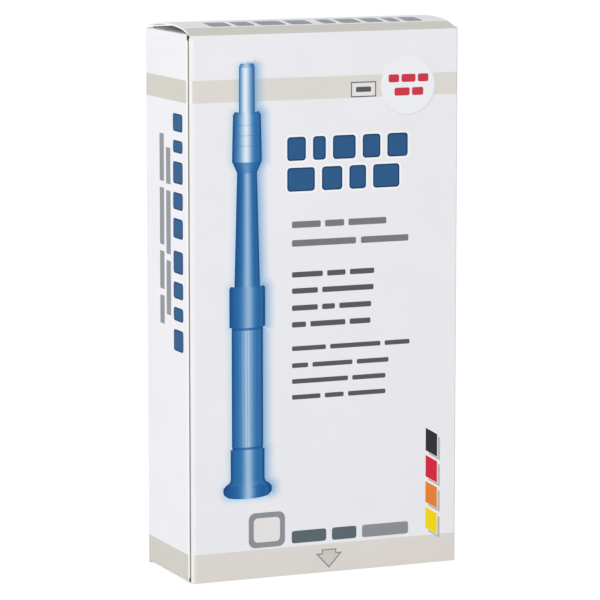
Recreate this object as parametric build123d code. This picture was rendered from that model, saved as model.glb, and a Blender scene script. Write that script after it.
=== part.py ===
from build123d import *
import os
from math import radians, tan

# Reverse tuck-end folding carton, standing on its bottom lid.
# X runs along the front panel, Y from front to back, Z up. Millimetres and degrees.

# Carton body
carton_width = 80.0
carton_depth = 32.0
carton_height = 150.0
board = 0.45
fold_radius = 0.6

# Glued seam at the front left corner
seam_inset = 0.5
glue_flap_width = 14.0
glue_flap_setback = 1.6
glue_flap_angle = 15.0

# Creases of the lids
hinge_gap = 0.08
crease_relief = 1.0
top_crease_drop = 0.3
fold_clearance = 0.1
lid_end_clearance = 0.1

# Arched top lid: places along the lid from its hinge, and rises over the hinge
bend_run = 4.5
bend_rise = 1.5
crown_run = 16.5
crown_rise = 2.42
rear_rise = 1.4

# Tuck flaps
tuck_length = 14.0
tuck_clearance = 0.3
tuck_side_step = 1.0
tuck_corner_radius = 6.0
tuck_slit = 6.5
tuck_lean = 3.0

# Dust flaps
dust_length = 26.0
dust_hinge_gap = 3.0
dust_tuck_gap = 3.2
dust_straight = 9.0
dust_taper = 4.5
dust_corner_radius = 2.5

# Round paper label on the front panel
label_diameter = 16.4
label_thickness = 0.1
label_from_right = 15.2
label_from_top = 15.6

# Overrun of every cut
over = 2.0

half_width = carton_width / 2
half_depth = carton_depth / 2
half_board = board / 2

# Heights of the folds
top_crease = carton_height - top_crease_drop
side_base = board + fold_clearance

# Hinge axes of the two lids, at half the board's thickness
top_axis = Vector(0, -half_depth + half_board, top_crease - half_board)
bottom_axis = Vector(0, half_depth - half_board, half_board)

# Spans from a lid's hinge to the crease of its tuck flap
top_span = carton_depth - 3 * board - tuck_clearance
bottom_span = top_span - board
lid_length = carton_width - 2 * (fold_radius + lid_end_clearance)
tuck_width = lid_length - 2 * tuck_side_step


def block(x_range, y_range, z_range):
    """Box between two corners."""
    size = [high - low for low, high in (x_range, y_range, z_range)]
    middle = [(high + low) / 2 for low, high in (x_range, y_range, z_range)]
    return Pos(*middle) * Box(*size)


def along_x(profile, length):
    """Extrudes a section drawn in Y and Z evenly to both sides."""
    return extrude(Plane.YZ * profile, amount=length / 2, both=True)


def at_top(shape):
    """Places what is drawn about a lid's hinge at the top closure."""
    return Pos(*top_axis) * shape


def at_bottom(shape):
    """Places what is drawn about a lid's hinge at the bottom closure, turned over."""
    return Pos(*bottom_axis) * Rot(180, 0, 0) * shape


def walls_round():
    """Glue flap, left side, back and right side as one bent strip, up to the front panel's fold."""
    left = -half_width + half_board
    right = half_width - half_board
    front = -half_depth + half_board
    back = half_depth - half_board
    route = FilletPolyline(
        (left + glue_flap_width, front + board),
        (left, front + board),
        (left, back),
        (right, back),
        (right, front),
        (right - 2 * fold_radius, front),
        radius=fold_radius - half_board,
    )
    return extrude(trace(route, line_width=board), amount=carton_height)


def front_panel():
    """Front panel, from its raw left edge to its fold at the right."""
    return block(
        (-half_width + seam_inset, half_width - fold_radius),
        (-half_depth, -half_depth + board),
        (0, carton_height),
    )


def glue_flap_end():
    """Cut that slants the glue flap's top end back from the lid."""
    start = carton_height - glue_flap_setback
    flap_end = -half_width + glue_flap_width + over
    slope = (glue_flap_width + over) * tan(radians(glue_flap_angle))
    outline = Polyline(
        (-half_width - over, carton_height + over),
        (-half_width - over, start),
        (-half_width, start),
        (flap_end, start - slope),
        (flap_end, carton_height + over),
        close=True,
    )
    low = -half_depth + board
    cut = extrude(Plane.XZ * make_face(outline), amount=half_depth, both=True)
    return cut & block((-carton_width, carton_width), (low, low + fold_radius), (0, carton_height + over))


def flip_end(shape):
    """Turns what is drawn at the top closure over to the bottom closure."""
    return Pos(0, 0, carton_height + side_base) * Rot(180, 0, 0) * shape


def dust_root():
    """Front and back ends of a dust flap's fold."""
    return -half_depth + dust_hinge_gap, half_depth - dust_tuck_gap


def dust_notch():
    """Cut that lowers the left side panel where its dust flap folds over."""
    return block(
        (-half_width - over, -half_width + fold_radius),
        dust_root(),
        (carton_height - fold_radius, carton_height + over),
    )


def dust_outline():
    """Plan of a dust flap, narrower towards its free end on the side of the lid's hinge."""
    near, far = dust_root()
    root = -half_width - over
    tip = -half_width + dust_length
    outline = Polyline(
        (root, near),
        (-half_width + dust_straight, near),
        (tip, near + dust_taper),
        (tip, far),
        (root, far),
        close=True,
    )
    face = make_face(outline)
    return fillet(face.vertices().filter_by_position(Axis.X, tip - half_board, tip + half_board), dust_corner_radius)


def dust_flap():
    """Dust flap folded in from the top of the left side panel."""
    upright = -half_width + half_board
    level = carton_height - half_board
    route = FilletPolyline(
        (upright, carton_height - 2 * fold_radius),
        (upright, level),
        (-half_width + dust_length, level),
        radius=fold_radius - half_board,
    )
    strip = extrude(Plane.XZ * trace(route, line_width=board), amount=half_depth, both=True)
    keep = extrude(Pos(0, 0, carton_height - 3 * fold_radius) * dust_outline(), amount=4 * fold_radius)
    return strip & keep


def front_cut():
    """Clears the top of the front panel for the lid's crease."""
    return block(
        (-half_width - over, lid_length / 2 + lid_end_clearance),
        (-half_depth - over, -half_depth + board),
        (top_crease - board - hinge_gap, carton_height + over),
    )


def back_cut():
    """Clears the bottom of the back panel for the bottom lid's crease."""
    reach = lid_length / 2 + lid_end_clearance
    return block(
        (-reach, reach),
        (half_depth - board, half_depth + over),
        (-over, board + hinge_gap),
    )


def side_cut():
    """Raises the left side panel's bottom edge over the bottom lid."""
    return block(
        (-half_width - over, -half_width + fold_radius),
        (-half_depth + board, half_depth - fold_radius),
        (-over, side_base),
    )


def carton_shell():
    """Four panels, the glued seam and four dust flaps, folded from one blank."""
    walls = walls_round() + front_panel()
    low_side = side_cut()
    walls -= [front_cut(), back_cut(), low_side, mirror(low_side, about=Plane.YZ)]
    end = glue_flap_end()
    walls -= [end, mirror(end, about=Plane.XY.offset(carton_height / 2))]
    notch = dust_notch()
    flap = dust_flap()
    for cut in (notch, mirror(notch, about=Plane.YZ)):
        walls -= [cut, flip_end(cut)]
    for piece in (flap, mirror(flap, about=Plane.YZ)):
        walls += [piece, flip_end(piece)]
    return walls


def bead(run, rise, length):
    """Round bead of a crease, as thick as the board."""
    return Pos(0, run, rise) * Rot(0, 90, 0) * Cylinder(half_board, length)


def lid(route, span, rise):
    """Lid drawn about its hinge, with a rounded crease there and a clear seat for the tuck flap's crease."""
    plate = along_x(trace(route, line_width=board), lid_length)
    seat = Pos(0, span, rise) * Rot(0, 90, 0) * Cylinder(half_board + hinge_gap, carton_width)
    relief = Polyline(
        (span + over, rise - board),
        (span - 2 * crease_relief, rise - board),
        (span, rise),
        (span + over, rise),
        close=True,
    )
    return plate + bead(0, 0, lid_length) - seat - along_x(make_face(relief), carton_width)


def tuck_flap(span, rise):
    """Tuck flap drawn about its lid's hinge, with rounded tips and a slit at each end of its crease."""
    sheet = Pos(0, -tuck_length / 2) * Rectangle(tuck_width, tuck_length)
    tips = sheet.vertices().sort_by(Axis.Y)[:2]
    plate = extrude(Plane.XZ * fillet(tips, tuck_corner_radius), amount=half_board, both=True)
    relief = Polyline((-board, over), (-board, -2 * crease_relief), (0, 0), (0, over), close=True)
    plate -= along_x(make_face(relief), carton_width)
    crease_length = tuck_width - 2 * tuck_slit
    slit = block((crease_length / 2, carton_width), (-over, over), (-board - hinge_gap, over))
    plate -= [slit, mirror(slit, about=Plane.YZ)]
    return Pos(0, span, rise) * Rot(-tuck_lean, 0, 0) * (plate + bead(0, 0, crease_length))


def top_route():
    """Mid line of the arched top lid, from its hinge to the tuck flap's crease."""
    return Spline(
        (0, 0),
        (bend_run, bend_rise),
        (crown_run, crown_rise),
        (top_span, rear_rise),
    )


def bottom_route():
    """Mid line of the flat bottom lid."""
    return Line((0, 0), (bottom_span, 0))


def round_label():
    """Thin round label stuck on the front panel."""
    place = Pos(half_width - label_from_right, -half_depth, carton_height - label_from_top)
    disc = Rot(90, 0, 0) * Cylinder(label_diameter / 2, label_thickness, align=(Align.CENTER, Align.CENTER, Align.MIN))
    return place * disc


parts = {
    "carton_shell": carton_shell(),
    "top_lid": at_top(lid(top_route(), top_span, rear_rise)),
    "top_tuck_flap": at_top(tuck_flap(top_span, rear_rise)),
    "bottom_lid": at_bottom(lid(bottom_route(), bottom_span, 0)),
    "bottom_tuck_flap": at_bottom(tuck_flap(bottom_span, 0)),
    "round_label": round_label(),
}

os.makedirs("parts", exist_ok=True)
for node, shape in parts.items():
    export_step(shape, f"parts/{node}.step")
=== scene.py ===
import math

import bpy
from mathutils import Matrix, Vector
from mathutils.geometry import delaunay_2d_cdt

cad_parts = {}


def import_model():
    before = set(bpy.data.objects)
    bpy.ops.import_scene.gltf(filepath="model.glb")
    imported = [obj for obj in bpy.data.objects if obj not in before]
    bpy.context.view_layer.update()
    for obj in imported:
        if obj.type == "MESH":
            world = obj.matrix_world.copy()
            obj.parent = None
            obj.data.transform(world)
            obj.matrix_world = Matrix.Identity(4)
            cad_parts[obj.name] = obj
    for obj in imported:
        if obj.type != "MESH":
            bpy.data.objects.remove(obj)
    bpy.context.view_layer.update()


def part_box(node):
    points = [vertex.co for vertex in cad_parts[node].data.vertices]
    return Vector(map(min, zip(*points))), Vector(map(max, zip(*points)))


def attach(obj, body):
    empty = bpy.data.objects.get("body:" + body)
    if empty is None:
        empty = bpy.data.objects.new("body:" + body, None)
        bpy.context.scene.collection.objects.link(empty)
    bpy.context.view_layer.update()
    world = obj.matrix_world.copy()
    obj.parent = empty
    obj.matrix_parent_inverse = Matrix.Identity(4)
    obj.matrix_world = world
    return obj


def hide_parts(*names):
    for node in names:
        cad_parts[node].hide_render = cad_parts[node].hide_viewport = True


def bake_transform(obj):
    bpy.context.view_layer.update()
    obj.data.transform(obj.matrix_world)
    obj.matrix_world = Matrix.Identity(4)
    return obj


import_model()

# Lengths below are in millimetres, colours are screen values from 0 to 255.
MM = 0.001
HALF_WIDTH, HALF_DEPTH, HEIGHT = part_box("carton_shell")[1] / MM
BOARD = 0.45
FOLD = 0.6
QUARTER = FOLD * math.pi / 2
BEND_STEPS = 6

# Seam at the front left corner: inset of the front panel's raw edge, radius and thickness of the fold beside
# it, depth of the groove at the fold and at its end, and the length over which it closes
SEAM_INSET = 0.5
SEAM_FOLD = 0.35
SEAM_BOARD = 0.33
SEAM_GAP = 0.6
SEAM_REST = 0.02
SEAM_CLOSE = 5.0
SEAM_STEPS = 5
GLUE_FLAP = 14.0
GLUE_SETBACK = 1.6
GLUE_SLOPE = math.tan(math.radians(15))

# Heights at which the panels end
FRONT_TOP = 149.17
BACK_BASE = 0.53
SIDE_BASE = 0.55

# Dust flaps
DUST_LENGTH = 26.0
DUST_NEAR = 3.0
DUST_FAR = 3.2
DUST_STRAIGHT = 9.0
DUST_TAPER = 4.5
DUST_CORNER = 2.5
DUST_SLIT = 0.08
DUST_SLIT_DEPTH = 0.7

# Lids and tuck flaps
LID_INSET = 0.7
LID_HALF = HALF_WIDTH - LID_INSET
TUCK_INSET = 1.0
TUCK_HALF = LID_HALF - TUCK_INSET
TUCK_LENGTH = 14.0
TUCK_CORNER = 6.0
TUCK_SLIT = 6.5
TUCK_LEAN = math.radians(3)
CREASE_HALF = TUCK_HALF - TUCK_SLIT
HINGE_GAP = 0.08
CREASE_RELIEF = 1.0
TOP_CREASE_DROP = 0.3
TOP_AXIS = Vector((0, -HALF_DEPTH + BOARD / 2, HEIGHT - TOP_CREASE_DROP - BOARD / 2))
BOTTOM_AXIS = Vector((0, HALF_DEPTH - BOARD / 2, BOARD / 2))
TOP_SPAN = 30.35
BOTTOM_SPAN = 29.9
TOP_RISES = ((0, 0), (2.2, 0.84), (4.5, 1.5), (9, 2.1), (16.5, 2.42), (24.5, 2.06), (TOP_SPAN, 1.4))

# Rounding errors allowed for in a place, and at the ends of a stretch
NEAR = 1e-6
HAIR = 1e-3

X = Vector((1, 0, 0))
Y = Vector((0, 1, 0))
Z = Vector((0, 0, 1))


# Materials

# Noise per metre, and heights in metres
CLOUD_SCALE = 90
FIBRE_SCALE = 1900
SWELL_SCALE = 38
WAVE_HEIGHT = 0.0002
GRAIN_HEIGHT = 0.00002
COAT_ROUGH = 0.3
ROUGH_SPREAD = 0.05


def linear(value):
    value /= 255
    return value / 12.92 if value <= 0.04045 else ((value + 0.055) / 1.055) ** 2.4


def rgb(colour):
    return [linear(value) for value in colour]


def noise(tree, coords, scale, detail, rough=0.5):
    node = tree.nodes.new("ShaderNodeTexNoise")
    node.inputs["Scale"].default_value = scale
    node.inputs["Detail"].default_value = detail
    node.inputs["Roughness"].default_value = rough
    tree.links.new(coords, node.inputs["Vector"])
    return node.outputs["Fac"]


def spread(tree, source, low_value, high_value):
    """Turns a noise between 0.3 and 0.7 into the range given."""
    node = tree.nodes.new("ShaderNodeMapRange")
    node.inputs["From Min"].default_value = 0.3
    node.inputs["From Max"].default_value = 0.7
    node.inputs["To Min"].default_value = low_value
    node.inputs["To Max"].default_value = high_value
    tree.links.new(source, node.inputs["Value"])
    return node.outputs["Result"]


def bump(tree, height, strength, distance):
    node = tree.nodes.new("ShaderNodeBump")
    node.inputs["Strength"].default_value = strength
    node.inputs["Distance"].default_value = distance
    tree.links.new(height, node.inputs["Height"])
    return node


def colour_sockets(sockets):
    return [socket for socket in sockets if socket.type == "RGBA"]


def board_material(
    name, colour, rough=0.44, mottle=0.02, grain=0.5, wave=0.5, coat=0.0, specular=0.4, painted=False
):
    """Printed or bare board: cloudy tone, fibre grain and slow waves in the sheet."""
    material = bpy.data.materials.new(name)
    material.use_nodes = True
    tree = material.node_tree
    shader = tree.nodes["Principled BSDF"]
    coords = tree.nodes.new("ShaderNodeTexCoord").outputs["Object"]
    cloud = noise(tree, coords, CLOUD_SCALE, 4)
    fibre = noise(tree, coords, FIBRE_SCALE, 3, 0.6)
    mix = tree.nodes.new("ShaderNodeMix")
    mix.data_type = "RGBA"
    mix.blend_type = "MULTIPLY"
    mix.inputs["Factor"].default_value = 1.0
    first, second = colour_sockets(mix.inputs)
    if painted:
        ink = tree.nodes.new("ShaderNodeAttribute")
        ink.attribute_name = "ink"
        tree.links.new(ink.outputs["Color"], first)
    else:
        first.default_value = (*rgb(colour), 1)
    tree.links.new(spread(tree, cloud, 1 - mottle, 1.0), second)
    tree.links.new(colour_sockets(mix.outputs)[0], shader.inputs["Base Color"])
    roughness = spread(tree, fibre, rough - ROUGH_SPREAD, rough + ROUGH_SPREAD)
    tree.links.new(roughness, shader.inputs["Roughness"])
    shader.inputs["Specular IOR Level"].default_value = specular
    shader.inputs["Coat Weight"].default_value = coat
    shader.inputs["Coat Roughness"].default_value = COAT_ROUGH
    swell = bump(tree, noise(tree, coords, SWELL_SCALE, 1), wave, WAVE_HEIGHT)
    fine = bump(tree, fibre, grain, GRAIN_HEIGHT)
    tree.links.new(swell.outputs["Normal"], fine.inputs["Normal"])
    tree.links.new(fine.outputs["Normal"], shader.inputs["Normal"])
    return material


PAPER = (239, 239, 243)
BAND = (224, 219, 213)
COATED = dict(coat=0.1)
FLAT_INK = dict(rough=0.55, specular=0.1)
GLOSSY = dict(rough=0.34, grain=0.25, coat=0.2)
LOOKS = {
    "paper": (PAPER, COATED),
    "margin": ((247, 247, 247), dict(rough=0.6)),
    "band": (BAND, dict(mottle=0.03, **COATED)),
    "band_side": ((208, 205, 195), dict(mottle=0.03, **COATED)),
    "band_lid": ((214, 209, 201), dict(mottle=0.03, **COATED)),
    # Lighter band tone: worn print along the folds, and painted highlight there and at the raw edge
    "band_worn": ((231, 228, 223), dict(rough=0.6, mottle=0.06)),
    # Tone of the flap under the seam: dried adhesive, and painted shade that darkens the seam's groove
    "glue": ((176, 172, 164), dict(rough=0.8, mottle=0.15, grain=1.0, specular=0.25)),
    "core": ((243, 241, 236), dict(rough=0.85, mottle=0.06, grain=0.9, specular=0.2)),
    "inside": ((228, 225, 217), dict(rough=0.8, mottle=0.05, grain=1.0, specular=0.25)),
    "cast": ((186, 183, 183), dict(mottle=0.04, **COATED)),
    # Darker tone on the front right bend: painted shade
    "fold_shade": ((212, 213, 216), dict(rough=0.6)),
    # Darker rim of the label: painted shadow of its edge, also used on its cut edge
    "label_rim": ((222, 225, 230), dict(rough=0.5)),
    "halo": ((247, 248, 250), {}),
    "blue": ((46, 92, 140), dict(mottle=0.06, **FLAT_INK)),
    "navy": ((28, 62, 100), dict(mottle=0.06, **FLAT_INK)),
    "dark": ((80, 82, 88), dict(mottle=0.08, **COATED)),
    "soft": ((118, 120, 126), dict(mottle=0.08, **COATED)),
    "slate": ((84, 98, 106), dict(mottle=0.06, **COATED)),
    "grey": ((140, 144, 150), dict(mottle=0.05, **COATED)),
    "pale": ((232, 230, 228), COATED),
    "lid_ink": ((116, 122, 136), dict(mottle=0.06, **COATED)),
    "black": ((52, 51, 56), dict(mottle=0.08, **FLAT_INK)),
    "red": ((222, 40, 66), dict(mottle=0.05, **FLAT_INK)),
    "orange": ((236, 134, 54), dict(mottle=0.05, **FLAT_INK)),
    "yellow": ((248, 221, 24), dict(mottle=0.05, **FLAT_INK)),
    "label": ((241, 242, 247), dict(mottle=0.01, **GLOSSY)),
    "label_red": ((208, 36, 62), dict(mottle=0.04, **GLOSSY)),
    "painted": (PAPER, dict(painted=True, **COATED)),
    "tool_ink": (PAPER, dict(painted=True, **FLAT_INK)),
}
materials = {name: board_material(name, colour, **finish) for name, (colour, finish) in LOOKS.items()}


# Flat shapes


def area(points):
    return sum(a[0] * b[1] - b[0] * a[1] for a, b in zip(points, points[1:] + points[:1])) / 2


def anticlockwise(points):
    return points if area(points) > 0 else points[::-1]


def arc(centre, radius, start, end, steps):
    angles = [math.radians(start + (end - start) * k / steps) for k in range(steps + 1)]
    return [(centre[0] + radius * math.cos(a), centre[1] + radius * math.sin(a)) for a in angles]


def rect(x0, x1, z0, z1):
    return [(x0, z0), (x1, z0), (x1, z1), (x0, z1)]


def bar(x0, x1, z0, z1, radius=0.3, steps=3):
    """Rectangle with rounded corners."""
    radius = min(radius, (x1 - x0) / 2 - 0.01, (z1 - z0) / 2 - 0.01)
    left, right, low, high = x0 + radius, x1 - radius, z0 + radius, z1 - radius
    corners = ((right, low, -90), (right, high, 0), (left, high, 90), (left, low, 180))
    return [p for x, z, start in corners for p in arc((x, z), radius, start, start + 90, steps)]


def grown(x0, x1, z0, z1, by, radius):
    return bar(x0 - by, x1 + by, z0 - by, z1 + by, radius + by)


def spans(start, end, shares, gap):
    """Stretches that fill a line, as long as their shares say."""
    scale = (end - start - gap * (len(shares) - 1)) / sum(shares)
    stretches, x = [], start
    for share in shares:
        stretches.append((x, x + share * scale))
        x += share * scale + gap
    return stretches


def words(start, end, z0, z1, shares, gap, ink, radius=0.35):
    """Row of plain bars that fills a line of print."""
    return [(bar(a, b, z0, z1, radius), ink) for a, b in spans(start, end, shares, gap)]


def turned(inks, origin):
    """Turns a row of print a quarter round, so that it runs downwards from the origin."""
    return [([(origin[0] + z, origin[1] - x) for x, z in points], ink) for points, ink in inks]


# Sheets of board

MERGE = 1e-4
SLIVER = 1e-9


def rim(faces):
    """Directed edges that only one of the faces has."""
    edges = {}
    for face in faces:
        for pair in zip(face, face[1:] + face[:1]):
            if pair[::-1] in edges:
                del edges[pair[::-1]]
            else:
                edges[pair] = True
    return list(edges)


def sheet(
    name,
    body,
    outline,
    inks,
    lines,
    place,
    thickness=BOARD,
    face="paper",
    back="inside",
    edge="core",
    thin=None,
):
    """Folded sheet, cut flat along its print and its bends. Each point then goes where place says."""
    polygons = [(anticlockwise(outline), face)] + [(anticlockwise(p), ink) for p, ink in inks]
    points, faces, edges = [], [], []
    for polygon, _ in polygons:
        faces.append(list(range(len(points), len(points) + len(polygon))))
        points += polygon
    for line in lines:
        edges += [(len(points) + k, len(points) + k + 1) for k in range(len(line) - 1)]
        points += line
    flat, _, triangles, _, _, owners = delaunay_2d_cdt([Vector(p) for p in points], edges, faces, 0, MERGE)
    placed = [place(*p) for p in flat]
    names = sorted({face, back, edge} | {ink for _, ink in inks})
    index = {key: k for k, key in enumerate(names)}
    count = len(flat)
    depths = [thin(*p) if thin else thickness for p in flat]
    vertices = [p for p, _ in placed] + [p - n * depth for (p, n), depth in zip(placed, depths)]
    polys, slots, normals, tops = [], [], [], []
    for (a, b, c), owner in zip(triangles, owners):
        if 0 not in owner:
            continue
        cross = (vertices[b] - vertices[a]).cross(vertices[c] - vertices[a])
        if cross.length < SLIVER:
            continue
        if cross.dot(placed[a][1] + placed[b][1] + placed[c][1]) < 0:
            a, b, c = a, c, b
        tops.append((a, b, c))
        polys += [(a, b, c), (c + count, b + count, a + count)]
        slots += [index[polygons[max(owner)][1]], index[back]]
        normals += [placed[v][1] for v in (a, b, c)] + [-placed[v][1] for v in (c, b, a)]
    for a, b in rim(tops):
        quad = (b, a, a + count, b + count)
        corner, along, down = (vertices[v] for v in quad[:3])
        polys.append(quad)
        slots.append(index[edge])
        normals += [(along - corner).cross(down - corner).normalized()] * 4
    return piece(name, body, vertices, polys, slots, [materials[key] for key in names], normals)


def piece(name, body, vertices, polys, slots, slot_materials, normals=None, smooth=True):
    """Makes a mesh object from millimetres. It rides on the body unless that is None."""
    used = sorted({v for poly in polys for v in poly})
    renumber = {v: k for k, v in enumerate(used)}
    mesh = bpy.data.meshes.new(name)
    mesh.from_pydata([vertices[v] * MM for v in used], [], [[renumber[v] for v in poly] for poly in polys])
    for material in slot_materials:
        mesh.materials.append(material)
    mesh.polygons.foreach_set("material_index", slots)
    mesh.polygons.foreach_set("use_smooth", [smooth] * len(polys))
    mesh.update()
    if normals:
        mesh.normals_split_custom_set(normals)
    obj = bpy.data.objects.new(name, mesh)
    bpy.context.scene.collection.objects.link(obj)
    if body:
        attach(obj, body)
    return obj


# Walls: one strip that runs round from the front panel's raw edge to the glue flap


def wall_route():
    """Straight runs and bends of the walls' outer face, seen from above."""
    flap_y = -HALF_DEPTH + BOARD + SEAM_GAP
    x, y = HALF_WIDTH - FOLD, HALF_DEPTH - FOLD
    corner = flap_y + SEAM_FOLD
    steps = [
        ("run", Vector((-HALF_WIDTH + SEAM_INSET, -HALF_DEPTH, 0)), X, x + HALF_WIDTH - SEAM_INSET),
        ("bend", Vector((x, -y, 0)), X, QUARTER),
        ("run", Vector((HALF_WIDTH, -y, 0)), Y, 2 * y),
        ("bend", Vector((x, y, 0)), Y, QUARTER),
        ("run", Vector((x, HALF_DEPTH, 0)), -X, 2 * x),
        ("bend", Vector((-x, y, 0)), -X, QUARTER),
        ("run", Vector((-HALF_WIDTH, y, 0)), -Y, y - corner),
        ("bend", Vector((-HALF_WIDTH + SEAM_FOLD, corner, 0)), -Y, SEAM_FOLD * math.pi / 2),
        ("run", Vector((-HALF_WIDTH + SEAM_FOLD, flap_y, 0)), X, GLUE_FLAP - SEAM_FOLD),
    ]
    starts, total = [], 0.0
    for step in steps:
        starts.append(total)
        total += step[3]
    return steps, starts, total


ROUTE, STARTS, ROUTE_END = wall_route()
FRONT_END, RIGHT, RIGHT_END, BACK, BACK_END, LEFT, LEFT_END, GLUE = STARTS[1:]
SIDE_STEPS = (STARTS.index(RIGHT), STARTS.index(LEFT))
GLUE_STEP = STARTS.index(GLUE)


def right_s(y):
    return RIGHT + y + HALF_DEPTH - FOLD


def left_s(y):
    return LEFT + HALF_DEPTH - FOLD - y


def front_s(x):
    return x + HALF_WIDTH - SEAM_INSET


def back_s(x):
    return BACK + HALF_WIDTH - FOLD - x


# Front and back end of each dust flap's root, and the height at which its fold starts
TOP_ROOT = (-HALF_DEPTH + DUST_NEAR, HALF_DEPTH - DUST_FAR)
BASE_ROOT = (-TOP_ROOT[1], -TOP_ROOT[0])
TOP_FOLD = HEIGHT - FOLD
BASE_FOLD = SIDE_BASE + FOLD
DUST_ENDS = ((1, TOP_FOLD, TOP_ROOT), (-1, BASE_FOLD, BASE_ROOT))


def wall_place(s, t):
    """Place and outward normal of a point of the walls' strip, with the dust flaps folded in."""
    k = max(i for i, start in enumerate(STARTS) if start <= s + NEAR)
    kind, at, way, length = ROUTE[k]
    across = s - STARTS[k]
    out = Vector((way.y, -way.x, 0))
    if kind == "run":
        base = at + way * across
    else:
        radius = length / (math.pi / 2)
        turn = across / radius
        out = out * math.cos(turn) + way * math.sin(turn)
        base = at + out * radius
    if k == GLUE_STEP:
        share = min(across / SEAM_CLOSE, 1)
        base -= Y * (SEAM_GAP - SEAM_REST) * share * share * (3 - 2 * share)
    if k in SIDE_STEPS:
        for up, fold, root in DUST_ENDS:
            past = (t - fold) * up
            if past > NEAR and root[0] - HAIR <= base.y <= root[1] + HAIR:
                turn = min(past / FOLD, math.pi / 2)
                inwards = FOLD * (1 - math.cos(turn)) + max(past - QUARTER, 0)
                spot = base - out * inwards + Z * (fold + up * FOLD * math.sin(turn))
                return spot, out * math.cos(turn) + Z * up * math.sin(turn)
    return base + Z * t, out


def turned_by(v, angle):
    c, s = math.cos(angle), math.sin(angle)
    return Vector((v.x * c - v.y * s, v.x * s + v.y * c))


def rounded(b, way_a, way_c, radius, steps=6):
    """Points that round a corner between the ways that lead off from it."""
    half = way_a.angle(way_c) / 2
    reach = radius / math.tan(half)
    centre = b + (way_a + way_c).normalized() * (radius / math.sin(half))
    start, end = b + way_a * reach - centre, b + way_c * reach - centre
    total = start.angle_signed(end)
    return [centre + turned_by(start, -total * k / steps) for k in range(steps + 1)]


def dust_line(panel_s, up):
    """Outline of a dust flap in the strip, from one end of its root to the other, in rising s."""
    near, far = (TOP_ROOT if up > 0 else (BASE_ROOT[1], BASE_ROOT[0]))
    inward = 1 if far > near else -1
    fold, level = (TOP_FOLD, HEIGHT) if up > 0 else (BASE_FOLD, SIDE_BASE)

    def reach(depth):
        return fold + up * (QUARTER + depth - FOLD)

    tip = DUST_LENGTH
    across = Vector((0, inward))
    slope = Vector((tip - DUST_STRAIGHT, inward * DUST_TAPER)).normalized()
    tip_line = rounded(Vector((tip, near + inward * DUST_TAPER)), -slope, across, DUST_CORNER)
    tip_line += rounded(Vector((tip, far)), -across, Vector((-1, 0)), DUST_CORNER)
    low_z = fold + up * (FOLD - DUST_SLIT_DEPTH)
    slit = DUST_SLIT * inward
    line = [(level, near - slit), (low_z, near - slit), (low_z, near)]
    line += [(reach(DUST_STRAIGHT), near)] + [(reach(p[0]), p[1]) for p in tip_line]
    line += [(low_z, far), (low_z, far + slit), (level, far + slit)]
    points = [(panel_s(y), t) for t, y in line]
    return points if points[0][0] < points[-1][0] else points[::-1]


def wall_outline():
    """Outline of the strip, along its base and back along its top."""
    glue_fall = (GLUE_FLAP - SEAM_FOLD) * GLUE_SLOPE
    bottom = [(0, 0), (RIGHT, 0), (RIGHT, SIDE_BASE)]
    bottom += dust_line(right_s, -1)
    bottom += [(RIGHT_END, SIDE_BASE), (RIGHT_END, 0), (BACK, 0), (BACK, BACK_BASE)]
    bottom += [(BACK_END, BACK_BASE), (BACK_END, 0), (LEFT, 0), (LEFT, SIDE_BASE)]
    bottom += dust_line(left_s, -1)
    bottom += [(LEFT_END, SIDE_BASE), (LEFT_END, GLUE_SETBACK), (GLUE, GLUE_SETBACK)]
    bottom.append((ROUTE_END, GLUE_SETBACK + glue_fall))
    top = [(ROUTE_END, HEIGHT - GLUE_SETBACK - glue_fall), (GLUE, HEIGHT - GLUE_SETBACK)]
    top += [(LEFT_END, HEIGHT - GLUE_SETBACK), (LEFT_END, HEIGHT)]
    top += dust_line(left_s, 1)[::-1]
    top += [(RIGHT_END, HEIGHT)] + dust_line(right_s, 1)[::-1]
    top += [(FRONT_END, HEIGHT), (FRONT_END, FRONT_TOP), (0, FRONT_TOP)]
    return bottom + top


# Print and bend lines run past a sheet's edges by this much
OVER = 1.0


def wall_lines():
    """Upright lines through the corner bends and level lines through the dust flaps' bends."""
    stations = []
    for start, (kind, _, _, length) in zip(STARTS, ROUTE):
        if kind == "bend":
            stations += [start + length * j / BEND_STEPS for j in range(BEND_STEPS + 1)]
    stations += [GLUE + SEAM_CLOSE * j / SEAM_STEPS for j in range(1, SEAM_STEPS + 1)]
    lines = [[(s, -OVER), (s, HEIGHT + OVER)] for s in stations]
    for panel_s in (right_s, left_s):
        for up, fold, root in DUST_ENDS:
            for j in range(BEND_STEPS + 1):
                t = fold + up * QUARTER * j / BEND_STEPS
                lines.append([(panel_s(root[0]), t), (panel_s(root[1]), t)])
    return lines


# Print

# Bands: base and top, where they start at the raw edge, and where their lighter strip at that edge, a
# painted highlight, ends
BAND_TOP = (131.5, 137.6)
BAND_BASE = (-1.0, 8.0)
BAND_START = 0.7
BAND_FADES = ((BAND_TOP, 0.9), (BAND_BASE, 1.5))
# Width of the bare margin at the raw edge, and how far the bands run into the seam's fold
MARGIN = 1.2
BAND_WRAP = 0.1
# Shares of a corner's bend between which it is painted darker as shade, and between which the bands are worn
# and painted lighter as a highlight
FOLD_SHADE = (0.35, 0.8)
FOLD_WEAR_AND_HIGHLIGHT = (0.3, 0.7)

# Heavy rows: rounding of the blocks, width of their rim and of the white border round it
BLOCK_RADIUS = 0.9
BLOCK_RIM = 0.4
HALO = 0.55

# Rows: start, end, base, top, shares of the bars, gap between them
TITLE_ROWS = (
    (-11.2, 24.8, 114.9, 121.4, (5.2, 3.6, 6.4, 5.0, 5.8), 2.1),
    (-11.2, 22.3, 106.5, 113.0, (6.2, 4.6, 3.8, 6.0), 2.1),
)
LINE_ROWS = (
    (-9.8, 18.4, 96.5, 98.3, (3, 2, 4), 1.3),
    (-9.8, 25.1, 91.4, 93.2, (4, 3), 1.5),
)
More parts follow.
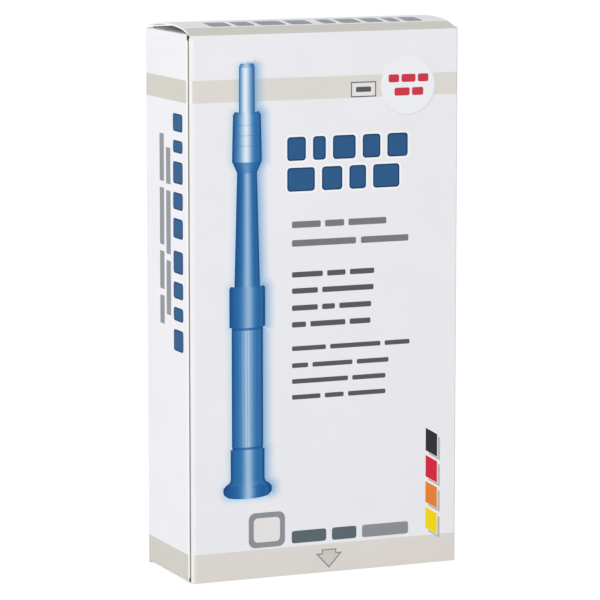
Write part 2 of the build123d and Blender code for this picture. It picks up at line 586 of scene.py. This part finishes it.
# Paragraphs: height of the bars, then base, end and shares of each row
TEXT_START = -9.8
TEXT_GAP = 1.3
PARAGRAPHS = (
    (1.5, ((82.9, 14.8, (5, 3, 4)), (78.4, 14.6, (3, 6)), (73.7, 13.9, (4, 2, 5)), (69.1, 13.7, (2, 5, 3)))),
    (1.3, ((62.6, 25.6, (4, 6, 3)), (57.9, 19.2, (2, 5, 4)), (53.5, 18.3, (5, 3)), (49.1, 18.3, (3, 2, 4)))),
)
# Small framed bar on the upper band
FRAMED_BAR = (
    (rect(7.7, 15.2, 131.6, 135.8), "dark"),
    (rect(8.0, 14.9, 131.9, 135.5), "pale"),
    (bar(9.2, 13.7, 133.0, 134.4), "dark"),
)
# Slanted colour fields: base, top and ink of each
FIELDS = ((32.1, 38.5, "black"), (24.7, 30.8, "red"), (17.4, 23.4, "orange"), (10.1, 16.0, "yellow"))
FIELD_LEFT = 30.7
FIELD_RIGHT = 34.25
FIELD_SLANT = 2.1
FIELD_SHADOW = (0.85, 1.1)
# White rim of a field: how far it stands out at the right, below and above, and how much more it falls
FIELD_RIM = (0.2, 0.1, 0.35, 0.12)
# Plain frame and bars at the foot
FOOT = (
    (bar(-22.7, -11.9, 8.5, 18.3, 1.9, 5), "grey"),
    (bar(-21.2, -13.4, 10.0, 16.8, 1.2, 4), "pale"),
    *words(-9.9, 9.6, 8.9, 12.4, (7, 5), 1.7, "slate", 0.7),
    (bar(11.3, 25.4, 8.9, 12.4, 0.7), "grey"),
)
# Arrow that shows the end to open, and its inner field
ARROW = [(-0.9, 6.5), (3.5, 6.5), (3.5, 5.4), (5.3, 5.4), (1.3, 1.1), (-2.7, 5.4), (-0.9, 5.4)]
ARROW_FIELD = [
    (-0.55, 6.15),
    (3.15, 6.15),
    (3.15, 5.05),
    (4.4, 5.05),
    (1.3, 1.65),
    (-1.8, 5.05),
    (-0.55, 5.05),
]
# Side panels: rows of the title, then length, shares, distance from the middle and top of each line
SIDE_TITLE_ROWS = (
    (0, 34, 0, 7.2, (5.2, 3.6, 6.4, 5.0, 5.8), 2.4),
    (37.5, 65, 0, 7.2, (6.2, 4.6, 3.8, 6.0), 2.4),
)
SIDE_TITLE_TOP = 128.2
LEFT_TITLE_Y = -4.6
RIGHT_TITLE_Y = -3.6
SIDE_LINES = ((46, (4, 7, 6), 0.7, 118.4), (52.5, (5, 6, 4, 3), 5.6, 121.9))
SIDE_LINE_WIDTH = 3.3
SIDE_LINE_GAP = 1.8
# Back panel: heavy row, then shares of the lines, their start and ends, the first one's base and their pitch
BACK_TITLE = (-28, 24, 121, 125.4, (5, 4, 6, 5), 0.9)
BACK_ROWS = ((5, 3, 6), (4, 6), (3, 5, 4), (6, 4), (5, 5, 3), (4, 3, 5))
BACK_FROM = -28
BACK_TO = (26, 21, 16)
BACK_TOP = 112
BACK_PITCH = 5.2
BACK_THICK = 1.8
BACK_GAP = 1.2


def bands():
    """Two bands round the carton. Print is worn off along the folds, where it is also painted lighter as a
    highlight, and stops short of the raw edge, beside which a lighter strip is a painted highlight.
    """
    whole = (-OVER, HEIGHT + OVER)
    inks = [(rect(0, MARGIN, *whole), "margin")]
    # Darker strip on the front right bend: painted shade
    shade_start, shade_end = (FRONT_END + QUARTER * share for share in FOLD_SHADE)
    inks.append((rect(shade_start, shade_end, *whole), "fold_shade"))
    for levels, fade in BAND_FADES:
        inks.append((rect(BAND_START, LEFT - QUARTER / 2, *levels), "band"))
        # Lighter strip at the raw edge: painted highlight
        inks.append((rect(BAND_START, fade, *levels), "band_worn"))
        inks.append((rect(LEFT - QUARTER / 2, LEFT_END + BAND_WRAP, *levels), "band_side"))
        for start in (FRONT_END, RIGHT_END, BACK_END):
            # Lighter strip in each bend: worn print and painted highlight
            lighter_start, lighter_end = (start + QUARTER * share for share in FOLD_WEAR_AND_HIGHLIGHT)
            inks.append((rect(lighter_start, lighter_end, *levels), "band_worn"))
    # Flap under the seam: dried adhesive tone, and painted shade in the seam's groove
    inks.append((rect(GLUE, ROUTE_END + OVER, *whole), "glue"))
    return inks


def title(start, end, z0, z1, shares, gap, fill="blue", outline="navy", halo="halo"):
    """Heavy row of print: blocks with a dark rim and a white border."""
    blocks = spans(start, end, shares, gap)
    inks = [(grown(a, b, z0, z1, HALO, BLOCK_RADIUS), halo) for a, b in blocks] if halo else []
    inks += [(bar(a, b, z0, z1, BLOCK_RADIUS), outline) for a, b in blocks]
    inks += [(grown(a, b, z0, z1, -BLOCK_RIM, BLOCK_RADIUS), fill) for a, b in blocks]
    return inks


def slanted(x0, x1, z0, z1, fall):
    """Upright field whose base and top fall to the right."""
    return [(x0, z0), (x1, z0 - fall), (x1, z1 - fall), (x0, z1)]


def colour_fields():
    """Slanted fields at the right, each with a white rim and a grey shadow."""
    right, below, above, fall = FIELD_RIM
    inks = []
    for z0, z1, ink in FIELDS:
        field = slanted(FIELD_LEFT, FIELD_RIGHT, z0, z1, FIELD_SLANT)
        border = slanted(FIELD_LEFT, FIELD_RIGHT + right, z0 - below, z1 + above, FIELD_SLANT + fall)
        inks.append(([(x + FIELD_SHADOW[0], z - FIELD_SHADOW[1]) for x, z in field], "cast"))
        inks += [(border, "halo"), (field, ink)]
    return inks


def front_print():
    inks = []
    for row in TITLE_ROWS:
        inks += title(*row)
    for row in LINE_ROWS:
        inks += words(*row, "soft")
    for thick, rows in PARAGRAPHS:
        for z, end, shares in rows:
            inks += words(TEXT_START, end, z, z + thick, shares, TEXT_GAP, "dark")
    inks += [*FRAMED_BAR, *colour_fields(), *FOOT, (ARROW, "grey"), (ARROW_FIELD, "band_side")]
    return [([(front_s(x), z) for x, z in points], ink) for points, ink in inks]


def side_title(s):
    """Title of a side panel. It runs downwards."""
    rows = [ink for row in SIDE_TITLE_ROWS for ink in title(*row, halo=None)]
    return turned(rows, (s, SIDE_TITLE_TOP))


def left_print():
    """Print on the left side panel, in columns."""
    inks = side_title(left_s(LEFT_TITLE_Y))
    for length, shares, y, top in SIDE_LINES:
        line = words(0, length, 0, SIDE_LINE_WIDTH, shares, SIDE_LINE_GAP, "grey")
        inks += turned(line, (left_s(y), top))
    return inks


def rear_print():
    """Print that the photo doesn't show: rows on the back and the right side."""
    inks = []
    for k, shares in enumerate(BACK_ROWS):
        z = BACK_TOP - BACK_PITCH * k
        end = BACK_TO[k % len(BACK_TO)]
        inks += words(BACK_FROM, end, z, z + BACK_THICK, shares, BACK_GAP, "dark")
    inks += words(*BACK_TITLE, "blue", 0.7)
    back = [([(back_s(-x), z) for x, z in points], ink) for points, ink in inks]
    return back + side_title(right_s(RIGHT_TITLE_Y))


def wall_depth(s, t):
    """Thickness of the walls: the tight bend of the seam is pressed thinner."""
    return SEAM_BOARD if LEFT_END - HAIR < s < GLUE + HAIR else BOARD


walls = sheet(
    "carton_board",
    "carton",
    wall_outline(),
    bands() + front_print() + left_print() + rear_print(),
    wall_lines(),
    wall_place,
    thin=wall_depth,
)
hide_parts("carton_shell")


# Lids

# How much steeper than its first and last stretch the arch is at its ends
ARCH_START = 1.08
ARCH_END = 1.15
LID_BAND = (-1, 5.0)
LID_TITLE_ROWS = (
    (-30.7, -0.7, 6.1, 13.6, (5, 4.4, 6.2, 5.2), 1.5),
    (2.3, 32.4, 6.1, 13.6, (4.2, 6, 5.4, 3.6, 5.4), 1.5),
)
# Distances from the hinge at which the arched lid is bent
ARCH_STATIONS = [0.5 * k for k in range(1, 10)] + [5 + 1.25 * k for k in range(20)]
ARCH_STATIONS.append(TOP_SPAN - CREASE_RELIEF)


def spline(knots):
    """Smooth curve through the knots, as a function of the first coordinate that gives height and slope."""
    xs, ys = zip(*knots)
    widths = [b - a for a, b in zip(xs, xs[1:])]
    rates = [(b - a) / width for a, b, width in zip(ys, ys[1:], widths)]
    slopes = [rates[0] * ARCH_START]
    for k in range(1, len(rates)):
        before, after = widths[k - 1], widths[k]
        slopes.append((rates[k - 1] * after + rates[k] * before) / (before + after))
    slopes.append(rates[-1] * ARCH_END)

    def curve(x):
        k = max(i for i in range(len(rates)) if xs[i] <= x or i == 0)
        h = widths[k]
        u = (x - xs[k]) / h
        h00, h10 = 2 * u**3 - 3 * u**2 + 1, u**3 - 2 * u**2 + u
        h01, h11 = -2 * u**3 + 3 * u**2, u**3 - u**2
        height = h00 * ys[k] + h10 * h * slopes[k] + h01 * ys[k + 1] + h11 * h * slopes[k + 1]
        slope = (6 * u**2 - 6 * u) * (ys[k] - ys[k + 1]) / h
        slope += (3 * u**2 - 4 * u + 1) * slopes[k] + (3 * u**2 - 2 * u) * slopes[k + 1]
        return height, slope

    return curve


top_curve = spline(TOP_RISES)


def top_place(x, s):
    """Place on the arched top lid."""
    rise, slope = top_curve(s)
    normal = Vector((0, -slope, 1)).normalized()
    return TOP_AXIS + Vector((x, s, rise)) + normal * BOARD / 2, normal


def bottom_place(x, s):
    """Place on the flat bottom lid."""
    return BOTTOM_AXIS + Vector((x, -s, -BOARD / 2)), -Z


def lid_lines(stations):
    return [[(-HALF_WIDTH - OVER, s), (HALF_WIDTH + OVER, s)] for s in stations]


def top_print():
    """Band along the front fold and a row that reads from behind."""
    inks = [(rect(-HALF_WIDTH, HALF_WIDTH, *LID_BAND), "band_lid")]
    for row in LID_TITLE_ROWS:
        inks += title(*row, "lid_ink", "lid_ink")
    return inks


def crease_depth(distance):
    """Thickness of the board, pressed thinner on its inner face near a tuck flap's crease."""
    return min(BOARD, BOARD / 2 * (1 + distance / CREASE_RELIEF))


top_lid = sheet(
    "top_lid_board",
    "top_lid",
    rect(-LID_HALF, LID_HALF, 0, TOP_SPAN - BOARD / 2 - HINGE_GAP),
    top_print(),
    lid_lines(ARCH_STATIONS),
    top_place,
    thin=lambda x, s: crease_depth(TOP_SPAN - s),
)
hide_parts("top_lid")

bottom_lid = sheet(
    "bottom_lid_board",
    "bottom_lid",
    rect(-LID_HALF, LID_HALF, 0, BOTTOM_SPAN - BOARD / 2 - HINGE_GAP),
    [],
    lid_lines([BOTTOM_SPAN - CREASE_RELIEF]),
    bottom_place,
    thin=lambda x, s: crease_depth(BOTTOM_SPAN - s),
)
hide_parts("bottom_lid")


# Tuck flaps


def tuck_frame(top):
    """Fold axis of a tuck flap, and its outward normal with the way down the flap."""
    down = Vector((0, -math.sin(TUCK_LEAN), -math.cos(TUCK_LEAN)))
    out = Vector((0, math.cos(TUCK_LEAN), -math.sin(TUCK_LEAN)))
    if top:
        return TOP_AXIS + Vector((0, TOP_SPAN, TOP_RISES[-1][1])), (out, down)
    return BOTTOM_AXIS - Y * BOTTOM_SPAN, (-out, -down)


def tuck_outline():
    """Flap with rounded tips, narrower at its crease, where a slit cuts into it from each end."""
    shoulder = BOARD + HINGE_GAP
    points = [(-TUCK_HALF, shoulder), (-CREASE_HALF, shoulder), (-CREASE_HALF, 0)]
    points += [(CREASE_HALF, 0), (CREASE_HALF, shoulder), (TUCK_HALF, shoulder)]
    centre_x, centre_s = TUCK_HALF - TUCK_CORNER, TUCK_LENGTH - TUCK_CORNER
    points += arc((centre_x, centre_s), TUCK_CORNER, 0, 90, 10)
    points += arc((-centre_x, centre_s), TUCK_CORNER, 90, 180, 10)
    return points


def tuck(name, body, node, top):
    axis, (out, down) = tuck_frame(top)
    flap = sheet(
        name,
        body,
        tuck_outline(),
        [],
        lid_lines([CREASE_RELIEF]),
        lambda x, s: (axis + X * x + down * s + out * BOARD / 2, out),
        thin=lambda x, s: crease_depth(s),
    )
    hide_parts(node)


tuck("top_tuck_board", "top_tuck", "top_tuck_flap", True)
tuck("bottom_tuck_board", "bottom_tuck", "bottom_tuck_flap", False)


# Creases: the board's outer skin bends over each fold

CREASE_STEPS = 8
# How far the skin stands out from the board's face, how deep it goes, and how far it reaches past the fold
CREASE_PROUD = 0.012
CREASE_DEPTH = 0.16
HINGE_REACH = 0.7
TUCK_REACH = 0.8
# Angle between faces past which the skin's edges are shaded sharp
CREASE_SHARP = math.radians(40)


def crease(name, axis, first, second, half_length, reach, inks):
    """Round skin over a fold between two faces, each given by its outward normal and the way along it."""
    (out_a, way_a), (out_b, way_b) = first, second
    radius = BOARD / 2 + CREASE_PROUD
    inner = BOARD / 2 - CREASE_DEPTH
    turn = out_a.angle(out_b)
    side = out_a.cross(out_b).normalized()
    section = [(-way_a * reach, out_a)]
    for k in range(CREASE_STEPS + 1):
        angle = turn * k / CREASE_STEPS
        normal = out_a * math.cos(angle) + side.cross(out_a) * math.sin(angle)
        section.append((Vector((0, 0, 0)), normal))
    section.append((way_b * reach, out_b))
    n = len(section)
    vertices, polys, slots = [], [], []
    for x in (-half_length, half_length):
        vertices += [axis + X * x + shift + normal * radius for shift, normal in section]
        vertices += [axis + X * x + shift + normal * inner for shift, normal in section]
    for k in range(n - 1):
        a, b, c, d = k, k + 1, 2 * n + k + 1, 2 * n + k
        polys += [(a, b, c, d), (a + n, d + n, c + n, b + n), (a, a + n, b + n, b), (d, c, c + n, d + n)]
        slots += [0 if k < n // 2 else 1, 2, 2, 2]
    polys += [(0, 2 * n, 3 * n, n), (n - 1, 2 * n - 1, 4 * n - 1, 3 * n - 1)]
    slots += [2, 2]
    obj = piece(name, None, vertices, polys, slots, [materials[key] for key in (*inks, "core")])
    mesh = obj.data
    if mesh.polygons[0].normal.dot(out_a) < 0:
        mesh.flip_normals()
    mesh.set_sharp_from_angle(angle=CREASE_SHARP)
    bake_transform(obj)


def arch_face(s):
    """Outward normal of the arched lid and the way along it, at a distance from its hinge."""
    _, slope = top_curve(s)
    way = Vector((0, 1, slope)).normalized()
    return Vector((0, -way.z, way.y)), way


top_tuck_axis, top_tuck_face = tuck_frame(True)
base_tuck_axis, base_tuck_face = tuck_frame(False)
front_face, back_face, base_face = (-Y, Z), (Y, -Z), (-Z, -Y)
crease(
    "top_hinge_crease",
    TOP_AXIS,
    front_face,
    arch_face(0),
    LID_HALF,
    HINGE_REACH,
    ("paper", "band_lid"),
)
crease(
    "top_tuck_crease",
    top_tuck_axis,
    arch_face(TOP_SPAN),
    top_tuck_face,
    CREASE_HALF,
    TUCK_REACH,
    ("paper", "paper"),
)
crease(
    "bottom_hinge_crease",
    BOTTOM_AXIS,
    back_face,
    base_face,
    LID_HALF,
    HINGE_REACH,
    ("band", "paper"),
)
crease(
    "bottom_tuck_crease",
    base_tuck_axis,
    base_face,
    base_tuck_face,
    CREASE_HALF,
    TUCK_REACH,
    ("paper", "paper"),
)


# Round label

LABEL_FROM_RIGHT = 15.2
LABEL_FROM_TOP = 15.6
LABEL_RADIUS = 8.2
LABEL_THICKNESS = 0.1
LABEL_STEPS = 72
# The plain face is smaller than the label and lies a little up and to the left, so that its darker rim shows
# at the lower right as a painted shadow of the label's edge
LABEL_RIM = 0.14
LABEL_SHIFT = 0.16
LABEL_ROWS = (
    (18.9, 30.9, 135.3, 137.5, (3, 4, 3), 0.7),
    (20.7, 29.4, 131.6, 133.8, (4, 3), 0.7),
)


def disc(x, z, radius):
    return arc((x, z), radius, 0, 360, LABEL_STEPS)[:-1]


def label_place(x, z):
    return Vector((x, -HALF_DEPTH - LABEL_THICKNESS, z)), -Y


label_x, label_z = HALF_WIDTH - LABEL_FROM_RIGHT, HEIGHT - LABEL_FROM_TOP
label_inks = [(disc(label_x - LABEL_SHIFT, label_z + LABEL_SHIFT, LABEL_RADIUS - LABEL_RIM), "label")]
for label_row in LABEL_ROWS:
    label_inks += words(*label_row, "label_red", 0.5)
# The outline's darker tone shows as a painted shadow where the plain face leaves it bare
label = sheet(
    "round_sticker",
    "carton",
    disc(label_x, label_z, LABEL_RADIUS),
    label_inks,
    [],
    label_place,
    LABEL_THICKNESS,
    face="label_rim",
    back="label",
    edge="label_rim",
)
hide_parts("round_label")


# Picture of a turned instrument on the front panel: bands of blue tone between straight and stepped outlines

TOOL_X = -23.0
TOOL = (
    # top, base, half width at the top, half width at the base, kind, sag of the top and of the base
    (141.9, 141.5, 1.5, 2.0, "tip", 0.15, 0.2),
    (141.5, 140.9, 2.0, 2.25, "tip", 0.2, 0.25),
    (140.9, 128.9, 2.25, 2.3, "tube", 0.25, 0.3),
    (128.9, 128.1, 3.4, 4.0, "collar", 0.3, 0.35),
    (128.1, 125.6, 4.05, 4.12, "collar", 0.35, 0.35),
    (125.6, 125.3, 4.12, 4.12, "ring", 0.35, 0.35),
    (125.3, 122.8, 4.12, 4.2, "collar", 0.35, 0.35),
    (122.8, 122.5, 4.2, 4.2, "ring", 0.35, 0.35),
    (122.5, 120.0, 4.2, 4.27, "collar", 0.35, 0.35),
    (120.0, 119.7, 4.27, 4.27, "ring", 0.35, 0.35),
    (119.7, 115.4, 4.27, 4.35, "collar", 0.35, 0.35),
    (115.4, 112.4, 4.35, 2.95, "taper", 0.35, 0.3),
    (112.4, 81.4, 2.9, 3.75, "shank", 0.3, 0.3),
    (81.4, 80.8, 4.7, 5.25, "sleeve", 0.35, 0.4),
    (80.8, 70.2, 5.25, 5.25, "sleeve", 0.4, 0.4),
    (70.2, 69.5, 4.55, 4.55, "groove", 0.4, 0.4),
    (69.5, 37.2, 4.6, 4.6, "ribs", 0.4, 0.4),
    (37.2, 36.5, 4.5, 4.5, "groove", 0.4, 0.4),
    (36.5, 28.0, 5.0, 5.0, "foot", 0.4, 0.45),
    (28.0, 27.2, 5.0, 5.35, "foot", 0.45, 0.5),
    (27.2, 26.6, 5.35, 6.3, "foot", 0.5, 0.5),
    (26.6, 25.7, 6.3, 7.15, "flange", 0.5, 0.6),
    (25.7, 24.5, 7.15, 7.15, "flange", 0.6, 0.75),
    (24.5, 23.95, 7.15, 6.9, "flange", 0.75, 0.85),
    (23.95, 23.45, 6.9, 6.2, "flange", 0.85, 0.95),
)
DEEP, MIDDLE, BRIGHT, RIM = (24, 80, 142), (44, 112, 172), (228, 240, 253), (24, 70, 124)
# For each kind: middle of the shine, its width to the left and to the right, its strength,
# and how late the tone deepens towards the edges
SHINES = {
    "tip": (-0.1, 0.75, 0.65, 0.72, 3),
    "tube": (-0.2, 0.62, 0.72, 1.0, 3),
    "collar": (-0.04, 0.46, 0.36, 0.98, 5),
    "ring": (-0.04, 0.46, 0.36, 0.98, 5),
    "taper": (-0.03, 0.35, 0.35, 0.32, 2),
    "shank": (0.01, 0.33, 0.35, 0.6, 1.9),
    "sleeve": (0.08, 0.34, 0.27, 0.56, 2.5),
    "groove": (0.0, 0.3, 0.3, 0.25, 2),
    "ribs": (0.0, 0.38, 0.36, 0.76, 6),
    "foot": (0.04, 0.3, 0.3, 0.63, 5),
    "flange": (0.05, 0.27, 0.22, 0.64, 1.3),
}
# Shares by which lines across the body are deeper
SHADES = {"groove": 0.3, "ring": 0.16}
# Ribs across the body and their depth, and the place, width and strength of a thin light near its right edge
RIBS = 10
RIB_DEPTH = 0.14
EDGE_LIGHT = (0.8, 0.07, 0.07)
# Share of the half width at which the dark rim starts, and its strength
RIM_START = 0.86
RIM_STRENGTH = 0.7
TOOL_COLUMNS = 61
# Soft light round the picture, at its left, at its right, below and above: reach, strength and colour
GLOWS = (
    (2.2, 0.32, (116, 190, 228)),
    (3.6, 0.83, (116, 167, 214)),
    (2.6, 0.6, (116, 192, 238)),
    (1.0, 0.12, (150, 190, 225)),
)
GLOW_FALL = 1.6
GLOW_COLUMNS = 45
GLOW_ROWS = 131
# The films stand out from the panel by this much, and go this deep into it
GLOW_PROUD = 0.008
TOOL_PROUD = 0.016
FILM_ROOT = 0.05
# Distance of the rows of points on both sides of a band's edge
BAND_EDGE = 0.005


def mixed(a, b, share):
    return tuple(p + (q - p) * share for p, q in zip(a, b))


def bell(u, middle, width):
    return math.exp(-(((u - middle) / width) ** 2))


def tool_colour(u, kind):
    """Tone across a round body, from its left edge at -1 to its right edge at 1."""
    middle, left, right, strength, late = SHINES[kind]
    shine = strength * bell(u, middle, left if u < middle else right)
    if kind == "ribs":
        shine *= 1 - RIB_DEPTH - RIB_DEPTH * math.cos(u * math.pi * RIBS)
    edge_middle, edge_width, edge_strength = EDGE_LIGHT
    shine += edge_strength * bell(u, edge_middle, edge_width)
    colour = mixed(mixed(MIDDLE, DEEP, abs(u) ** late), BRIGHT, shine)
    colour = mixed(colour, DEEP, SHADES.get(kind, 0))
    return mixed(colour, RIM, max((abs(u) - RIM_START) / (1 - RIM_START), 0) * RIM_STRENGTH)


def tool_offset(x, z):
    """Way from the instrument's outline to a point of the panel, zero inside."""
    best = (math.inf, 0.0, 0.0)
    for top, base, half_top, half_base, *_ in TOOL:
        inside = min(max(z, base), top)
        share = (top - inside) / (top - base)
        half = half_top + (half_base - half_top) * share
        across = math.copysign(max(abs(x - TOOL_X) - half, 0), x - TOOL_X)
        best = min(best, (math.hypot(across, z - inside), across, z - inside))
    return best


def glow_at(x, z):
    """Strength and colour of the soft light at a point of the panel, by its direction from the outline."""
    distance, across, up = tool_offset(x, z)
    if distance < NEAR:
        distance, across = NEAR, math.copysign(NEAR, x - TOOL_X)
    shares = [0.0, 0.0, 0.0, 0.0]
    side = 0 if x < TOOL_X else 1
    shares[side] += (across / distance) ** 2
    shares[2 if up < 0 else 3 if z > TOOL[0][0] else side] += (up / distance) ** 2
    reach, strength = (sum(share * glow[k] for share, glow in zip(shares, GLOWS)) for k in (0, 1))
    colour = tuple(sum(share * glow[2][k] for share, glow in zip(shares, GLOWS)) for k in range(3))
    return strength * max(1 - distance / reach, 0) ** GLOW_FALL, colour


def grid_faces(columns, rows, offset=0):
    """Faces of a grid whose points go along x first, then down, seen from the front."""
    corners = [offset + r * columns + c for r in range(rows - 1) for c in range(columns - 1)]
    return [(a, a + columns, a + columns + 1, a + 1) for a in corners]


def evenly(start, end, count):
    return [start + (end - start) * k / (count - 1) for k in range(count)]


def glow_film():
    """Points, faces and colours of the soft light, where it is lit."""
    reach = GLOWS[1][0]
    half = max(row[3] for row in TOOL) + reach
    xs = evenly(TOOL_X - half, TOOL_X + half, GLOW_COLUMNS)
    zs = set(evenly(TOOL[0][0] + reach, TOOL[-1][1] - reach, GLOW_ROWS))
    zs |= {z + d for z in BAND_TOP for d in (-BAND_EDGE, BAND_EDGE)}
    points, colours, lit = [], [], []
    for z in sorted(zs, reverse=True):
        ground = BAND if BAND_TOP[0] < z < BAND_TOP[1] else PAPER
        for x in xs:
            strength, colour = glow_at(x, z)
            points.append((x, z))
            colours.append(mixed(ground, colour, strength))
            lit.append(strength > 0)
    faces = [face for face in grid_faces(len(xs), len(zs)) if any(lit[v] for v in face)]
    return points, faces, colours


def cross_line(line, x):
    """Height at x of a line across a round body, seen from a little above."""
    z, half, sag = line
    return z - sag * math.sqrt(max(1 - (x / half) ** 2, 0))


def tool_film():
    """Points, faces and colours of the instrument. A part ends on the line of a wider one that it meets."""
    points, faces, colours = [], [], []
    tops = [(row[0], row[2], row[5]) for row in TOOL]
    bases = [(row[1], row[3], row[6]) for row in TOOL]
    for k, row in enumerate(TOOL):
        offset = len(points)
        above = bases[k - 1] if k and bases[k - 1][1] > tops[k][1] else tops[k]
        below = tops[k + 1] if k + 1 < len(TOOL) and tops[k + 1][1] > bases[k][1] else bases[k]
        for line, half in ((above, tops[k][1]), (below, bases[k][1])):
            for u in evenly(-1, 1, TOOL_COLUMNS):
                points.append((TOOL_X + u * half, cross_line(line, u * half)))
                colours.append(tool_colour(u, row[4]))
        faces += grid_faces(TOOL_COLUMNS, 2, offset)
    return points, faces, colours


def film(name, made, proud, material):
    """Flat closed film on the front panel, with a colour at each point."""
    points, faces, colours = made
    count = len(points)
    vertices = [Vector((x, -HALF_DEPTH - proud, z)) for x, z in points]
    vertices += [Vector((x, -HALF_DEPTH + FILM_ROOT, z)) for x, z in points]
    polys = []
    for face in faces:
        polys += [face, tuple(v + count for v in reversed(face))]
    polys += [(b, a, a + count, b + count) for a, b in rim(faces)]
    obj = piece(name, None, vertices, polys, [0] * len(polys), [materials[material]], smooth=False)
    used = sorted({v for poly in polys for v in poly})
    ink = obj.data.color_attributes.new("ink", "FLOAT_COLOR", "POINT")
    for spot, v in zip(ink.data, used):
        spot.color = (*rgb(colours[v % count]), 1)
    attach(obj, "carton")


film("print_glow", glow_film(), GLOW_PROUD, "painted")
film("print_instrument", tool_film(), TOOL_PROUD, "tool_ink")


# Camera

CAMERA_PLACE = Vector((-395.18, -925.52, 219.69))
CAMERA_YAW = 0.403
CAMERA_PITCH = 0.1437
FOCAL_PIXELS = 3655.2
PICTURE_PIXELS = 600
SENSOR = 36

camera = bpy.data.objects.new("camera", bpy.data.cameras.new("camera"))
bpy.context.scene.collection.objects.link(camera)
camera.data.sensor_width = SENSOR
camera.data.lens = FOCAL_PIXELS / PICTURE_PIXELS * SENSOR
camera.data.clip_start = 0.05
camera.data.clip_end = 50
forward = Vector(
    (
        math.cos(CAMERA_PITCH) * math.sin(CAMERA_YAW),
        math.cos(CAMERA_PITCH) * math.cos(CAMERA_YAW),
        -math.sin(CAMERA_PITCH),
    )
)
camera.location = CAMERA_PLACE * MM
camera.rotation_mode = "QUATERNION"
camera.rotation_quaternion = forward.to_track_quat("-Z", "Y")
bpy.context.scene.camera = camera


# Floor, world and lamps

FLOOR_RADIUS = 4000
FLOOR_DROP = 0.02
# The floor's tone as a reflector, and as the camera sees it: what it reflects and what it adds
FLOOR_BOUNCE = 0.8
FLOOR_SEEN = 0.34
FLOOR_WHITE = 0.79
WORLD_LEVEL = 0.69
# Lamps: place in metres and power in watts
LAMPS = (
    ("lamp_front", (-0.45, -1.6, 0.2), 7.4),
    ("lamp_left", (-1.6, -0.35, 0.16), 11.2),
)
LAMP_TARGET = Vector((0, 0, 0.07))
LAMP_SIZE = 0.55


def light_path_share(tree, outputs):
    """Factor that is one for the kinds of ray named."""
    path = tree.nodes.new("ShaderNodeLightPath")
    share = path.outputs[outputs[0]]
    for other in outputs[1:]:
        node = tree.nodes.new("ShaderNodeMath")
        node.operation = "MAXIMUM"
        tree.links.new(share, node.inputs[0])
        tree.links.new(path.outputs[other], node.inputs[1])
        share = node.outputs[0]
    return share


def by_light_path(tree, outputs, other, seen, target):
    """Shows one shader to the kinds of ray named and the other to the rest."""
    mix = tree.nodes.new("ShaderNodeMixShader")
    tree.links.new(light_path_share(tree, outputs), mix.inputs[0])
    tree.links.new(other.outputs[0], mix.inputs[1])
    tree.links.new(seen.outputs[0], mix.inputs[2])
    tree.links.new(mix.outputs[0], target.inputs["Surface"])


def grey_shader(tree, kind, level):
    node = tree.nodes.new(kind)
    node.inputs["Color"].default_value = (level, level, level, 1)
    return node


def floor_material():
    """White floor that keeps a faint shadow."""
    material = bpy.data.materials.new("floor")
    material.use_nodes = True
    tree = material.node_tree
    tree.nodes.clear()
    output = tree.nodes.new("ShaderNodeOutputMaterial")
    plain = grey_shader(tree, "ShaderNodeBsdfDiffuse", FLOOR_BOUNCE)
    seen = grey_shader(tree, "ShaderNodeBsdfDiffuse", FLOOR_SEEN)
    white = tree.nodes.new("ShaderNodeEmission")
    white.inputs["Strength"].default_value = FLOOR_WHITE
    both = tree.nodes.new("ShaderNodeAddShader")
    tree.links.new(seen.outputs[0], both.inputs[0])
    tree.links.new(white.outputs[0], both.inputs[1])
    by_light_path(tree, ["Is Camera Ray"], plain, both, output)
    return material


def floor():
    points = [Vector((x, y, -FLOOR_DROP)) for x, y in arc((0, 0), FLOOR_RADIUS, 0, 360, 64)[:-1]]
    mesh = bpy.data.meshes.new("floor")
    mesh.from_pydata([p * MM for p in points], [], [list(range(len(points)))])
    mesh.materials.append(floor_material())
    obj = bpy.data.objects.new("floor", mesh)
    bpy.context.scene.collection.objects.link(obj)


def world():
    """Soft light from all round, white where it is seen."""
    sky = bpy.data.worlds.new("world")
    bpy.context.scene.world = sky
    sky.use_nodes = True
    tree = sky.node_tree
    tree.nodes.clear()
    output = tree.nodes.new("ShaderNodeOutputWorld")
    light = grey_shader(tree, "ShaderNodeBackground", 1)
    light.inputs["Strength"].default_value = WORLD_LEVEL
    white = grey_shader(tree, "ShaderNodeBackground", 1)
    by_light_path(tree, ["Is Camera Ray", "Is Glossy Ray", "Is Transmission Ray"], light, white, output)


def lamp(name, place, watts):
    data = bpy.data.lights.new(name, "AREA")
    data.shape = "SQUARE"
    data.size = LAMP_SIZE
    data.energy = watts
    obj = bpy.data.objects.new(name, data)
    obj.location = place
    obj.rotation_mode = "QUATERNION"
    obj.rotation_quaternion = (LAMP_TARGET - Vector(place)).to_track_quat("-Z", "Y")
    obj.visible_camera = False
    bpy.context.scene.collection.objects.link(obj)


floor()
world()
for lamp_row in LAMPS:
    lamp(*lamp_row)
bpy.context.scene.view_settings.view_transform = "Standard"
